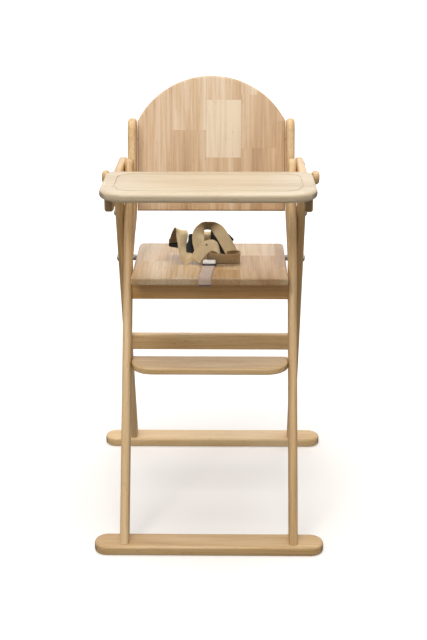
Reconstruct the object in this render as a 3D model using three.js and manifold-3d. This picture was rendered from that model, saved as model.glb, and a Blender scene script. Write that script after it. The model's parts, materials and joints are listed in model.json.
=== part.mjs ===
// A folding wooden baby high chair, as separate pieces.
// Units are millimetres. Up is +Z, the child faces -Y, and +X is on the right of someone facing the chair's
// front. The origin is on the floor, under the middle of the footprint.
import * as THREE from "three";
import { mergeVertices } from "three/addons/utils/BufferGeometryUtils.js";
import Module from "manifold-3d";

const wasm = await Module();
wasm.setup();

// ---------------------------------------------------------------- driving dimensions

const GAP = 0.3;                       // left between pieces that touch
const SIDES = [{ name: "left", sign: -1 }, { name: "right", sign: 1 }];

const FRAME = { inner: 163, outer: 181 };            // X of the front legs' and back posts' faces
const SWING = { inner: 182.5, outer: 200 };          // X of the rear legs' and tray arms' faces
const LEG = { width: 38, roundover: 7 };
const BAR = { height: 22, depth: 58, roundover: 6 };
const FRONT_FOOT = { y: -263, half: 233.5, legAhead: 1, screwBehind: 8 };
const REAR_FOOT = { y: 263, half: 260, legAhead: 3, screwAhead: 10 };

const LEG_SLOPE = 0.485;               // the front legs run this far back for each unit of height
const LEG_TOP = 743;
const PIVOT_Z = 637;                   // where front and rear legs cross
const REAR_LEG_REACH = 33;             // from that pivot up to the centre of the rear leg's round end
const SEAT_PIVOT_Z = 525;

const SEAT = {
  half: 160.5, front: -105, back: 166, top: 533, thickness: 16, frontCorner: 6, backCorner: 12 };
const RAIL = { bottom: 470, middle: 493, thickness: 18, corner: 3, aheadOfLeg: 6 };
const FOOTREST = { top: 357, front: -158, back: -84, thickness: 15, frontCorner: 46, backCorner: 6 };
const CROSS_RAIL = { bottom: 284, top: 321, thickness: 18, corner: 4 };
const THIN_ROUNDOVER = 4;              // on the seat, the footrest and the backrest
const EASED = 0.5;                     // the rails' ends

const BACK = { bottomY: 146, bottomZ: 612, rise: 284, run: 82, thickness: 15, half: 162.7, arc: 183.5 };
const POST = { ahead: 47, behind: 10, top: 783, roundover: 6 };

const TRAY = {
  half: 205, front: -290, back: -86, top: 750, thickness: 17.5,
  frontCorner: 55, backCorner: 20, roundover: 7 };
const GROOVE = { inset: 26, width: 4, depth: 1.6, frontCorner: 34, backCorner: 24 };
const ARM = { bottom: 694, top: 732, front: -203, pivotY: 142, pivotZ: 714, corner: 6, roundover: 5 };
const PEG = { z: 704, shank: 7, head: 15, headFrom: 215, headTo: 230, sunk: 14 };
const NOTCH_CLEARANCE = 2;             // each side of the peg's shank

const SCREW = { head: 4, shank: 2.2, cone: 2.5, sunk: 1, across: 48, intoBack: 46, upFoot: 56, upTray: 48 };
const BACK_SCREWS = { lower: 650, upper: 762, drop: 2, intoPanel: 6.5 };
const TRAY_SCREWS = { front: -176, back: -118, up: 2 };
const FOOT_SCREW_UP = 2;               // foot screws' heads are sunk this far into the bars
const FOOTREST_SCREW_BEHIND = 3;
const BOLT = { head: 8, rise: 4, shank: 4, throughTwo: 31, intoSeat: 66 };
const WASHER_RADIUS = 10;
const SPACER = { radius: 6.5, clearOfSeat: 1 };
const BEYOND = 500;                    // further than any piece reaches

const WEBBING = { width: 25, thickness: 1.8 };
const CROTCH = { width: 27, x: -7, under: -72, tail: 6 };

// ---------------------------------------------------------------- materials

const finish = (color, roughness, metalness = 0) =>
  new THREE.MeshStandardMaterial({ color, roughness, metalness });

const FRAME_WOOD = finish(0xd3b083, 0.45);
const PALE_WOOD = finish(0xe6cfa8, 0.42);
const STEEL = finish(0x8d8f92, 0.35, 1);
const NYLON = finish(0xd9d6cc, 0.5);
const BLACK_PLASTIC = finish(0x17171a, 0.45);
const KHAKI_WEB = finish(0xb0905a, 0.9);
const PINK_WEB = finish(0xc4a898, 0.85);

// ---------------------------------------------------------------- solids and nodes

const chair = new THREE.Group();

// A manifold solid from a closed geometry, without the slivers that lathe poles leave.
function solid(geometry) {
  const bare = geometry.clone();
  bare.deleteAttribute("normal");
  bare.deleteAttribute("uv");
  const merged = mergeVertices(bare, 1e-4);
  const index = merged.index.array;
  const triangles = [];
  for (let i = 0; i < index.length; i += 3) {
    const [a, b, c] = [index[i], index[i + 1], index[i + 2]];
    if (a !== b && b !== c && c !== a) {
      triangles.push(a, b, c);
    }
  }
  return new wasm.Manifold(new wasm.Mesh({
    numProp: 3,
    vertProperties: new Float32Array(merged.attributes.position.array),
    triVerts: new Uint32Array(triangles),
  }));
}

function addNode(name, body, material) {
  const mesh = body.getMesh();
  const geometry = new THREE.BufferGeometry();
  geometry.setAttribute("position", new THREE.BufferAttribute(new Float32Array(mesh.vertProperties), 3));
  geometry.setIndex(new THREE.BufferAttribute(new Uint32Array(mesh.triVerts), 1));
  geometry.computeVertexNormals();
  const node = new THREE.Mesh(geometry, material);
  node.name = name;
  chair.add(node);
}

// Lays an XY drawing into the plane of the chair's side: x runs along Y, y up Z, and depth along X.
const TO_SIDE = new THREE.Matrix4().makeBasis(
  new THREE.Vector3(0, 1, 0), new THREE.Vector3(0, 0, 1), new THREE.Vector3(1, 0, 0));

// A board with rounded-over edges: its outline, its thickness, and the radius on both faces' edges.
function board(shape, thickness, roundover, curveSegments = 3) {
  const geometry = new THREE.ExtrudeGeometry(shape, {
    depth: thickness - 2 * roundover,
    bevelThickness: roundover,
    bevelSize: roundover,
    bevelOffset: -roundover,
    bevelSegments: 2,
    curveSegments,
  });
  geometry.translate(0, 0, roundover);
  return geometry;
}

// A board that stands in the side plane, with its lowest X at xLow.
function sideBoard(shape, xLow, thickness, roundover, curveSegments = 5) {
  return board(shape, thickness, roundover, curveSegments).applyMatrix4(TO_SIDE).translate(xLow, 0, 0);
}

function box(low, high) {
  const size = high.map((value, axis) => value - low[axis]);
  const geometry = new THREE.BoxGeometry(...size);
  geometry.translate(...low.map((value, axis) => value + size[axis] / 2));
  return solid(geometry);
}

// A turned piece: pairs of distance along the axis and radius, starting and ending on the axis.
function turned(profile, start, direction, segments = 12) {
  const points = profile.map(([along, radius]) => new THREE.Vector2(radius, along));
  const geometry = new THREE.LatheGeometry(points, segments);
  const turn = new THREE.Quaternion().setFromUnitVectors(new THREE.Vector3(0, 1, 0), direction);
  geometry.applyQuaternion(turn);
  geometry.translate(start.x, start.y, start.z);
  return solid(geometry);
}

// The round hole for a turned piece, open at the start and a gap wider and deeper.
function holeFor(profile, start, direction, segments = 12) {
  const wider = profile.filter(([, radius]) => radius > 0).map(([along, radius]) => [along, radius + GAP]);
  const first = wider[0];
  const last = wider[wider.length - 1];
  const mouth = [[first[0] - 3, 0], [first[0] - 3, first[1]]];
  const bottom = [[last[0] + GAP, last[1]], [last[0] + GAP, 0]];
  return turned([...mouth, ...wider, ...bottom], start, direction, segments);
}

// A rectangle with round corners: their radii are given at low-low, high-low, high-high and low-high.
const rounded = (low, high, corners) => {
  const [x0, y0] = low;
  const [x1, y1] = high;
  const [a, b, c, d] = corners;
  const shape = new THREE.Shape();
  shape.moveTo(x0 + a, y0);
  shape.lineTo(x1 - b, y0);
  shape.absarc(x1 - b, y0 + b, b, -Math.PI / 2, 0);
  shape.lineTo(x1, y1 - c);
  shape.absarc(x1 - c, y1 - c, c, 0, Math.PI / 2);
  shape.lineTo(x0 + d, y1);
  shape.absarc(x0 + d, y1 - d, d, Math.PI / 2, Math.PI);
  shape.lineTo(x0, y0 + a);
  shape.absarc(x0 + a, y0 + a, a, Math.PI, 1.5 * Math.PI);
  return shape;
};

// ---------------------------------------------------------------- places worked out from the dimensions

const legCentre = (z) => FRONT_FOOT.y - FRONT_FOOT.legAhead + LEG_SLOPE * (z - BAR.height);
const PIVOT = new THREE.Vector2(legCentre(PIVOT_Z), PIVOT_Z);
const REAR_FOOT_POINT = new THREE.Vector2(REAR_FOOT.y - REAR_FOOT.legAhead, BAR.height);
const rearAlong = REAR_FOOT_POINT.clone().sub(PIVOT).normalize();
const rearCentre = (z) => PIVOT.x + (PIVOT.y - z) * (rearAlong.x / -rearAlong.y);
const SEAT_PIVOT = new THREE.Vector2(rearCentre(SEAT_PIVOT_Z), SEAT_PIVOT_Z);
const PEG_Y = legCentre(PEG.z);
const railY = legCentre(RAIL.middle) - RAIL.aheadOfLeg;
const backFace = (z) => BACK.bottomY + (z - BACK.bottomZ) * (BACK.run / BACK.rise);
const RIGHT_WAY = new THREE.Vector3(1, 0, 0);
const UP = new THREE.Vector3(0, 0, 1);

const outward = (sign) => RIGHT_WAY.clone().multiplyScalar(sign);
const lowX = (sign, span) => (sign > 0 ? span.inner : -span.outer);

// A leg's outline in the side plane: a straight bar with a round top, run below the floor bar to be cut.
function legShape(top, foot, width) {
  const along = foot.clone().sub(top).normalize();
  const across = new THREE.Vector2(-along.y, along.x).multiplyScalar(width / 2);
  const low = foot.clone().addScaledVector(along, 3 * LEG.roundover);
  const topAngle = Math.atan2(across.y, across.x);
  const shape = new THREE.Shape();
  shape.moveTo(low.x - across.x, low.y - across.y);
  shape.lineTo(low.x + across.x, low.y + across.y);
  shape.lineTo(top.x + across.x, top.y + across.y);
  shape.absarc(top.x, top.y, width / 2, topAngle, topAngle + Math.PI);
  shape.lineTo(low.x - across.x, low.y - across.y);
  return shape;
}

const belowBars = box([-BEYOND, -BEYOND, -BEYOND], [BEYOND, BEYOND, BAR.height + GAP]);

// ---------------------------------------------------------------- screws, bolts and pegs

const countersunk = (length) => [
  [0, 0], [0, SCREW.head], [SCREW.cone, SCREW.shank], [length, SCREW.shank], [length, 0]];
const domed = (length) => [
  [-BOLT.rise, 0], [-BOLT.rise, 3.5], [-3.2, 6], [-1.4, 7.6], [0, BOLT.head], [0, BOLT.shank],
  [length, BOLT.shank], [length, 0]];
const plainHole = (length) => [[0, BOLT.shank], [length, BOLT.shank]];

// Each fastener adds its own node, and its hole to every piece that it passes through.
const holes = {};
function drill(names, cutter) {
  for (const name of names) {
    holes[name] = [...(holes[name] ?? []), cutter];
  }
}

function screw(name, start, direction, length, hosts) {
  const profile = countersunk(length);
  addNode(name, turned(profile, start, direction, 10), STEEL);
  drill(hosts, holeFor(profile, start, direction, 10));
}

function bolt(name, start, direction, length, hosts) {
  addNode(name, turned(domed(length), start, direction, 16), STEEL);
  drill(hosts, holeFor(plainHole(length), start, direction, 16));
}

function finishNode(name, body, material) {
  const cut = (holes[name] ?? []).reduce((left, cutter) => left.subtract(cutter), body);
  addNode(name, cut, material);
}

// The section of a ring that runs freely on a bolt.
const sleeve = (length, radius) => {
  const bore = BOLT.shank + GAP;
  return [[0, bore], [0, radius], [length, radius], [length, bore], [0, bore]];
};

// Washers in the space between the fixed and the swinging members.
function washer(name, sign, at) {
  const space = SWING.inner - FRAME.outer;
  const start = new THREE.Vector3(sign * (FRAME.outer + GAP), at.x, at.y);
  const length = space - 2 * GAP;
  addNode(name, turned(sleeve(length, WASHER_RADIUS), start, outward(sign), 20), NYLON);
}

for (const { name, sign } of SIDES) {
  const inward = outward(-sign);
  const at = (x, y, z) => new THREE.Vector3(sign * x, y, z);
  const frontLeg = `front_leg_${name}`;
  const rearLeg = `rear_leg_${name}`;
  const post = `back_post_${name}`;

  bolt(`leg_pivot_bolt_${name}`, at(SWING.outer + GAP, PIVOT.x, PIVOT.y), inward, BOLT.throughTwo,
    [rearLeg, frontLeg]);
  washer(`leg_pivot_washer_${name}`, sign, PIVOT);
  bolt(`arm_pivot_bolt_${name}`, at(SWING.outer + GAP, ARM.pivotY, ARM.pivotZ), inward, BOLT.throughTwo,
    [`tray_arm_${name}`, post]);
  washer(`arm_pivot_washer_${name}`, sign, new THREE.Vector2(ARM.pivotY, ARM.pivotZ));
  bolt(`seat_pivot_bolt_${name}`, at(SWING.outer + GAP, SEAT_PIVOT.x, SEAT_PIVOT.y), inward, BOLT.intoSeat,
    [rearLeg, "seat_panel"]);
  const spacerFrom = SEAT.half + SPACER.clearOfSeat;
  const spacer = sleeve(SWING.inner - GAP - spacerFrom, SPACER.radius);
  addNode(`seat_pivot_spacer_${name}`, turned(spacer, at(spacerFrom, SEAT_PIVOT.x, SEAT_PIVOT.y),
    outward(sign), 16), STEEL);

  const frameFace = FRAME.outer - SCREW.sunk;
  screw(`seat_rail_screw_${name}`, at(frameFace, railY, RAIL.middle), inward, SCREW.across,
    [frontLeg, "seat_rail"]);
  const treadMiddle = FOOTREST.top - FOOTREST.thickness / 2;
  screw(`footrest_screw_${name}`, at(frameFace, legCentre(treadMiddle) + FOOTREST_SCREW_BEHIND, treadMiddle),
    inward, SCREW.across, [frontLeg, "footrest"]);
  const crossMiddle = (CROSS_RAIL.bottom + CROSS_RAIL.top) / 2;
  const swingFace = SWING.outer - SCREW.sunk;
  screw(`cross_rail_screw_${name}`, at(swingFace, rearCentre(crossMiddle), crossMiddle), inward, SCREW.across,
    [rearLeg, "rear_cross_rail"]);
  for (const place of ["lower", "upper"]) {
    const height = BACK_SCREWS[place];
    const y = backFace(height - BACK_SCREWS.drop) + BACK_SCREWS.intoPanel;
    screw(`back_screw_${place}_${name}`, at(frameFace, y, height), inward, SCREW.intoBack,
      [post, "backrest_panel"]);
  }
  const legBetween = (FRAME.inner + FRAME.outer) / 2;
  const swingBetween = (SWING.inner + SWING.outer) / 2;
  screw(`front_foot_screw_${name}`, at(legBetween, FRONT_FOOT.y + FRONT_FOOT.screwBehind, FOOT_SCREW_UP), UP,
    SCREW.upFoot, [frontLeg, "front_foot_bar"]);
  screw(`rear_foot_screw_${name}`, at(swingBetween, REAR_FOOT.y - REAR_FOOT.screwAhead, FOOT_SCREW_UP), UP,
    SCREW.upFoot, [rearLeg, "rear_foot_bar"]);
  for (const place of ["front", "back"]) {
    const start = at(swingBetween, TRAY_SCREWS[place], ARM.bottom + TRAY_SCREWS.up);
    screw(`tray_screw_${place}_${name}`, start, UP, SCREW.upTray, [`tray_arm_${name}`, "tray_top"]);
  }

  // A turned peg in the front leg's side; the tray arm drops over its shank.
  const shankEnd = FRAME.outer - PEG.sunk;
  const neck = PEG.headFrom - shankEnd;
  const tip = PEG.headTo - shankEnd;
  const pegProfile = [
    [0, 0], [0, PEG.shank], [neck - 4, PEG.shank], [neck, PEG.shank + 3], [neck + 2, PEG.head - 1],
    [neck + 5, PEG.head], [tip - 5, PEG.head - 1.5], [tip - 1.5, PEG.head - 6.5], [tip, 0]];
  const pegStart = at(shankEnd, PEG_Y, PEG.z);
  addNode(`arm_peg_${name}`, turned(pegProfile, pegStart, outward(sign), 20), FRAME_WOOD);
  const socketDepth = PEG.sunk + 3;
  drill([frontLeg], turned(
    [[-GAP, 0], [-GAP, PEG.shank + GAP], [socketDepth, PEG.shank + GAP], [socketDepth, 0]],
    pegStart, outward(sign), 20));
}

// ---------------------------------------------------------------- front frame

function footBar(name, place) {
  const halfDepth = BAR.depth / 2;
  const end = halfDepth - 2;
  const shape = rounded([-place.half, place.y - halfDepth], [place.half, place.y + halfDepth],
    [end, end, end, end]);
  finishNode(name, solid(board(shape, BAR.height, BAR.roundover)), FRAME_WOOD);
}

footBar("front_foot_bar", FRONT_FOOT);
footBar("rear_foot_bar", REAR_FOOT);

const frontTop = new THREE.Vector2(legCentre(LEG_TOP - LEG.width / 2), LEG_TOP - LEG.width / 2);
const frontFoot = new THREE.Vector2(legCentre(BAR.height), BAR.height);
const rearTop = PIVOT.clone().addScaledVector(rearAlong, -REAR_LEG_REACH);

for (const { name, sign } of SIDES) {
  const front = sideBoard(legShape(frontTop, frontFoot, LEG.width), lowX(sign, FRAME),
    FRAME.outer - FRAME.inner, LEG.roundover);
  finishNode(`front_leg_${name}`, solid(front).subtract(belowBars), FRAME_WOOD);
  const rear = sideBoard(legShape(rearTop, REAR_FOOT_POINT, LEG.width), lowX(sign, SWING),
    SWING.outer - SWING.inner, LEG.roundover);
  finishNode(`rear_leg_${name}`, solid(rear).subtract(belowBars), FRAME_WOOD);
}

// The rail under the seat, between the front legs and set near their front edge.
const railTop = SEAT.top - SEAT.thickness - GAP;
const railShape = rounded([railY - RAIL.thickness / 2, RAIL.bottom], [railY + RAIL.thickness / 2, railTop],
  [RAIL.corner, RAIL.corner, RAIL.corner, RAIL.corner]);
const seatRail = sideBoard(railShape, -FRAME.inner + GAP, 2 * (FRAME.inner - GAP), EASED, 1);
finishNode("seat_rail", solid(seatRail), FRAME_WOOD);

const footrestShape = rounded([-FRAME.inner + GAP, FOOTREST.front], [FRAME.inner - GAP, FOOTREST.back],
  [FOOTREST.frontCorner, FOOTREST.frontCorner, FOOTREST.backCorner, FOOTREST.backCorner]);
const footrest = board(footrestShape, FOOTREST.thickness, THIN_ROUNDOVER)
  .translate(0, 0, FOOTREST.top - FOOTREST.thickness);
finishNode("footrest", solid(footrest), FRAME_WOOD);

// ---------------------------------------------------------------- back posts and backrest

// A swan-necked post: it springs from the front leg's rear edge and turns up beside the backrest.
function postShape() {
  const radius = ((POST.ahead + POST.behind) / 2) * (BACK.rise / Math.hypot(BACK.rise, BACK.run));
  const centre = new THREE.Vector2(backFace(POST.top) + (POST.behind - POST.ahead) / 2, POST.top);
  const lean = Math.atan2(BACK.run, BACK.rise);
  const front = (z) => new THREE.Vector2(backFace(z) - POST.ahead, z);
  const rear = (z) => new THREE.Vector2(backFace(z) + POST.behind, z);
  const lower = new THREE.SplineCurve([
    new THREE.Vector2(-20, 530), new THREE.Vector2(12, 541), new THREE.Vector2(39, 552),
    new THREE.Vector2(70, 570), new THREE.Vector2(104, 583), new THREE.Vector2(136, 599),
    new THREE.Vector2(155, 622), rear(652), rear(664)]);
  const upper = new THREE.SplineCurve([
    front(700), front(676), new THREE.Vector2(109, 654), new THREE.Vector2(96, 634),
    new THREE.Vector2(74, 619), new THREE.Vector2(46, 608), new THREE.Vector2(12, 592)]);
  const shape = new THREE.Shape(lower.getPoints(14));
  shape.absarc(centre.x, centre.y, radius, -lean, Math.PI - lean);
  for (const point of upper.getPoints(12)) {
    shape.lineTo(point.x, point.y);
  }
  return shape;
}

// Everything ahead of the front legs' rear edge, where the posts are cut to butt against the legs.
const legRear = (z) => legCentre(z) + (LEG.width / 2 + GAP) * Math.hypot(1, LEG_SLOPE);
const aheadShape = new THREE.Shape([
  new THREE.Vector2(legRear(FOOTREST.top), FOOTREST.top), new THREE.Vector2(legRear(2 * BEYOND), 2 * BEYOND),
  new THREE.Vector2(-BEYOND, 2 * BEYOND), new THREE.Vector2(-BEYOND, FOOTREST.top)]);
const aheadOfLegRear = solid(new THREE.ExtrudeGeometry(aheadShape, { depth: 2 * BEYOND, bevelEnabled: false })
  .applyMatrix4(TO_SIDE).translate(-BEYOND, 0, 0));

for (const { name, sign } of SIDES) {
  const post = sideBoard(postShape(), lowX(sign, FRAME), FRAME.outer - FRAME.inner, POST.roundover);
  finishNode(`back_post_${name}`, solid(post).subtract(aheadOfLegRear), FRAME_WOOD);
}

// The backrest is drawn flat, then leaned back: straight sides, and an arc over the top.
const backLength = Math.hypot(BACK.rise, BACK.run);
const arcDrop = BACK.arc - Math.sqrt(BACK.arc ** 2 - BACK.half ** 2);
const arcAngle = Math.asin(BACK.half / BACK.arc);
const ARC_STEPS = 20;
const backShape = new THREE.Shape();
backShape.moveTo(-BACK.half, 0);
backShape.lineTo(BACK.half, 0);
backShape.lineTo(BACK.half, backLength - arcDrop);
for (let step = 1; step < ARC_STEPS; step += 1) {
  const angle = arcAngle - (step / ARC_STEPS) * 2 * arcAngle;
  backShape.lineTo(BACK.arc * Math.sin(angle), backLength - BACK.arc + BACK.arc * Math.cos(angle));
}
backShape.lineTo(-BACK.half, backLength - arcDrop);
backShape.lineTo(-BACK.half, 0);
const back = board(backShape, BACK.thickness, THIN_ROUNDOVER);
back.translate(0, 0, -BACK.thickness);
back.rotateX(Math.PI / 2 - Math.atan2(BACK.run, BACK.rise));
back.translate(0, BACK.bottomY, BACK.bottomZ);
finishNode("backrest_panel", solid(back), FRAME_WOOD);

// ---------------------------------------------------------------- rear frame

const crossY = rearCentre((CROSS_RAIL.bottom + CROSS_RAIL.top) / 2);
const crossShape = rounded([crossY - CROSS_RAIL.thickness / 2, CROSS_RAIL.bottom],
  [crossY + CROSS_RAIL.thickness / 2, CROSS_RAIL.top],
  [CROSS_RAIL.corner, CROSS_RAIL.corner, CROSS_RAIL.corner, CROSS_RAIL.corner]);
const crossRail = sideBoard(crossShape, -SWING.inner + GAP, 2 * (SWING.inner - GAP), EASED, 1);
finishNode("rear_cross_rail", solid(crossRail), FRAME_WOOD);

// ---------------------------------------------------------------- seat and harness

const seatShape = rounded([-SEAT.half, SEAT.front], [SEAT.half, SEAT.back],
  [SEAT.frontCorner, SEAT.frontCorner, SEAT.backCorner, SEAT.backCorner]);
const seat = board(seatShape, SEAT.thickness, THIN_ROUNDOVER).translate(0, 0, SEAT.top - SEAT.thickness);
finishNode("seat_panel", solid(seat), FRAME_WOOD);

// The outline of a strip of webbing that follows a smooth line through the given points.
function strip(points, thickness, steps) {
  const line = new THREE.CatmullRomCurve3(points.map(([x, y]) => new THREE.Vector3(x, y, 0)), false,
    "centripetal");
  const sides = [[], []];
  for (let step = 0; step <= steps; step += 1) {
    const point = line.getPointAt(step / steps);
    const tangent = line.getTangentAt(step / steps);
    const normal = new THREE.Vector2(-tangent.y, tangent.x).multiplyScalar(thickness / 2);
    sides[0].push(new THREE.Vector2(point.x + normal.x, point.y + normal.y));
    sides[1].push(new THREE.Vector2(point.x - normal.x, point.y - normal.y));
  }
  return new THREE.Shape([...sides[0], ...sides[1].reverse()]);
}

// The crotch strap lies on the seat, turns over its front edge and is held underneath.
const lift = 0.8 + WEBBING.thickness / 2;
const above = SEAT.top + lift;
const beneath = SEAT.top - SEAT.thickness - lift;
const nose = SEAT.front - lift;
const crotchPath = [
  [CROTCH.tail, above], [-30, above], [-70, above], [SEAT.front + 6, above], [nose + 2, above - 1.6],
  [nose, above - 5], [nose, beneath + 5], [nose + 2, beneath + 1.6], [SEAT.front + 6, beneath],
  [SEAT.front + 20, beneath], [CROTCH.under, beneath]];
const crotch = new THREE.ExtrudeGeometry(strip(crotchPath, WEBBING.thickness, 40),
  { depth: CROTCH.width, bevelEnabled: false }).applyMatrix4(TO_SIDE);
finishNode("crotch_strap", solid(crotch.translate(CROTCH.x - CROTCH.width / 2, 0, 0)), PINK_WEB);

// A length of webbing heaped on the seat, drawn from the side: Y, and height over the seat. Its width runs
// along X, about a middle at x, and it turns about the vertical.
function heaped(name, x, turn, points, steps = 24) {
  const geometry = new THREE.ExtrudeGeometry(strip(points, WEBBING.thickness, steps),
    { depth: WEBBING.width, bevelEnabled: false }).applyMatrix4(TO_SIDE);
  const middle = points[0][0];
  geometry.translate(-WEBBING.width / 2, -middle, 0);
  geometry.rotateZ(THREE.MathUtils.degToRad(turn));
  geometry.translate(x, middle, SEAT.top);
  addNode(name, solid(geometry), KHAKI_WEB);
}

heaped("webbing_left_loop", -66, 14,
  [[4, 3], [7, 24], [13, 46], [22, 60], [30, 60], [37, 44], [43, 22], [47, 4]]);
heaped("webbing_arch", -19, -4,
  [[2, 3], [6, 28], [13, 56], [26, 74], [42, 79], [56, 66], [64, 38], [68, 6]]);
heaped("webbing_right_loop", 40, 10,
  [[8, 3], [11, 24], [20, 50], [34, 66], [48, 62], [56, 40], [60, 6]]);
heaped("webbing_back_loop", 2, 3,
  [[78, 3], [80, 20], [88, 36], [98, 36], [104, 20], [106, 4]]);

// One length stands on its edge at the front of the heap, bent back on itself at its right end.
const frontLoop = [[14, -6], [26, -11], [42, -11], [54, -7], [58, -2], [53, 2], [44, 1]];
const standing = new THREE.ExtrudeGeometry(strip(frontLoop, WEBBING.thickness, 28),
  { depth: WEBBING.width, bevelEnabled: false });
addNode("webbing_front_loop", solid(standing.translate(0, 0, SEAT.top + 1)), KHAKI_WEB);

// Buckle halves, strap sliders and the adjuster bar, as blocks with rounded edges. Each is turned about the
// vertical after it is tipped about X and Y; place is its middle, with the height over the seat.
function block(name, material, size, place, tip, lean, turn) {
  const [width, depth, height] = size;
  const shape = rounded([-width / 2, -depth / 2], [width / 2, depth / 2], [3, 3, 3, 3]);
  const geometry = board(shape, height, 1, 1).translate(0, 0, -height / 2);
  geometry.rotateX(THREE.MathUtils.degToRad(tip));
  geometry.rotateY(THREE.MathUtils.degToRad(lean));
  geometry.rotateZ(THREE.MathUtils.degToRad(turn));
  geometry.translate(place[0], place[1], SEAT.top + place[2]);
  addNode(name, solid(geometry), material);
}

block("buckle_socket", BLACK_PLASTIC, [22, 34, 12], [-43, 18, 22], 72, 0, 24);
block("buckle_prongs", BLACK_PLASTIC, [20, 40, 8], [9, 42, 24], 60, 0, -28);
block("strap_slider_left", BLACK_PLASTIC, [24, 20, 8], [-82, 62, 12], 20, 0, 20);
block("strap_slider_right", BLACK_PLASTIC, [22, 20, 5], [50, 78, 30], 70, 0, 10);
block("adjuster_bar", STEEL, [28, 8, 5], [-7, -10, 6], 0, 0, 0);

// ---------------------------------------------------------------- tray

const trayShape = rounded([-TRAY.half, TRAY.front], [TRAY.half, TRAY.back],
  [TRAY.frontCorner, TRAY.frontCorner, TRAY.backCorner, TRAY.backCorner]);
function grooveEdge(across) {
  const by = GROOVE.inset + across;
  const front = GROOVE.frontCorner - across;
  const rear = GROOVE.backCorner - across;
  return rounded([-TRAY.half + by, TRAY.front + by], [TRAY.half - by, TRAY.back - by],
    [front, front, rear, rear]);
}
const grooveShape = grooveEdge(0);
grooveShape.holes.push(grooveEdge(GROOVE.width));
const grooveSolid = new THREE.ExtrudeGeometry(grooveShape, {
  depth: TRAY.thickness, bevelEnabled: false, curveSegments: 2 });
const groove = solid(grooveSolid.translate(0, 0, TRAY.top - GROOVE.depth));
const tray = solid(board(trayShape, TRAY.thickness, TRAY.roundover)
  .translate(0, 0, TRAY.top - TRAY.thickness));
finishNode("tray_top", tray.subtract(groove), PALE_WOOD);

// An arm: a level board with a round rear end, and a notch that drops over the peg.
const armHalf = (ARM.top - ARM.bottom) / 2;
const cornerY = ARM.front + ARM.corner;
const armShape = new THREE.Shape();
armShape.moveTo(cornerY, ARM.bottom);
armShape.lineTo(ARM.pivotY, ARM.bottom);
armShape.absarc(ARM.pivotY, ARM.bottom + armHalf, armHalf, -Math.PI / 2, Math.PI / 2);
armShape.lineTo(cornerY, ARM.top);
armShape.absarc(cornerY, ARM.top - ARM.corner, ARM.corner, Math.PI / 2, Math.PI);
armShape.lineTo(ARM.front, ARM.bottom + ARM.corner);
armShape.absarc(cornerY, ARM.bottom + ARM.corner, ARM.corner, Math.PI, 1.5 * Math.PI);
const notchHalf = PEG.shank + NOTCH_CLEARANCE;
const belowArm = ARM.bottom - ARM.roundover;
const notchShape = new THREE.Shape();
notchShape.moveTo(PEG_Y - notchHalf, belowArm);
notchShape.lineTo(PEG_Y + notchHalf, belowArm);
notchShape.absarc(PEG_Y, PEG.z + PEG.shank + GAP - notchHalf, notchHalf, 0, Math.PI);
notchShape.lineTo(PEG_Y - notchHalf, belowArm);
const notch = solid(new THREE.ExtrudeGeometry(notchShape, { depth: 2 * BEYOND, bevelEnabled: false })
  .applyMatrix4(TO_SIDE).translate(-BEYOND, 0, 0));
for (const { name, sign } of SIDES) {
  const arm = sideBoard(armShape, lowX(sign, SWING), SWING.outer - SWING.inner, ARM.roundover);
  finishNode(`tray_arm_${name}`, solid(arm).subtract(notch), FRAME_WOOD);
}

export default chair;
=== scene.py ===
import json
import math

import bmesh
import bpy
from mathutils import Matrix, Vector


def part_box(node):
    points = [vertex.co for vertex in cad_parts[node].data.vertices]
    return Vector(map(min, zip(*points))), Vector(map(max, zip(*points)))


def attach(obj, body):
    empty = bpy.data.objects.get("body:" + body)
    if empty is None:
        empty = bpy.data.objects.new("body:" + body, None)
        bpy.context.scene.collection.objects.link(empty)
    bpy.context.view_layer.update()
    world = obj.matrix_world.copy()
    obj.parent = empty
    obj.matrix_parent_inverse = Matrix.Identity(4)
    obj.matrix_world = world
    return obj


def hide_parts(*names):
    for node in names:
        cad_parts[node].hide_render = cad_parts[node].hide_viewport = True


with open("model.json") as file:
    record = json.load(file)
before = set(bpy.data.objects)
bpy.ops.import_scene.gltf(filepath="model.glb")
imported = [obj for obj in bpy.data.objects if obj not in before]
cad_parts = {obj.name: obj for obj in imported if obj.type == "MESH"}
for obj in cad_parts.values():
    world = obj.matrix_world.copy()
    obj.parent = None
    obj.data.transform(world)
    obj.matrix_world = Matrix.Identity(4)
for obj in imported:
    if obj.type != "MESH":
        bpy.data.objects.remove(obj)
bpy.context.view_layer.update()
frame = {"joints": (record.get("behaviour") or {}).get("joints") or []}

MM = 0.001
SIDES = (("left", -1), ("right", 1))
X, Y, Z = Vector((1, 0, 0)), Vector((0, 1, 0)), Vector((0, 0, 1))


# ---------------- camera and studio

def make_camera():
    camera_data = bpy.data.cameras.new("camera")
    camera_data.lens = 69.0
    camera_data.clip_end = 60
    camera = bpy.data.objects.new("camera", camera_data)
    bpy.context.scene.collection.objects.link(camera)
    camera.location = (0.0391, -2.4899, 1.2614)
    camera.rotation_euler = (math.radians(90 - 18.932), math.radians(0.065), math.radians(0.726))
    bpy.context.scene.camera = camera


def area_light(name, place, aim, size, power, colour):
    data = bpy.data.lights.new(name, "AREA")
    data.shape = "RECTANGLE"
    data.size, data.size_y = size
    data.energy = power
    data.color = colour
    light = bpy.data.objects.new(name, data)
    bpy.context.scene.collection.objects.link(light)
    light.location = place
    light.rotation_euler = (Vector(aim) - Vector(place)).to_track_quat("-Z", "Y").to_euler()


# ---------------- shader building

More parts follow.
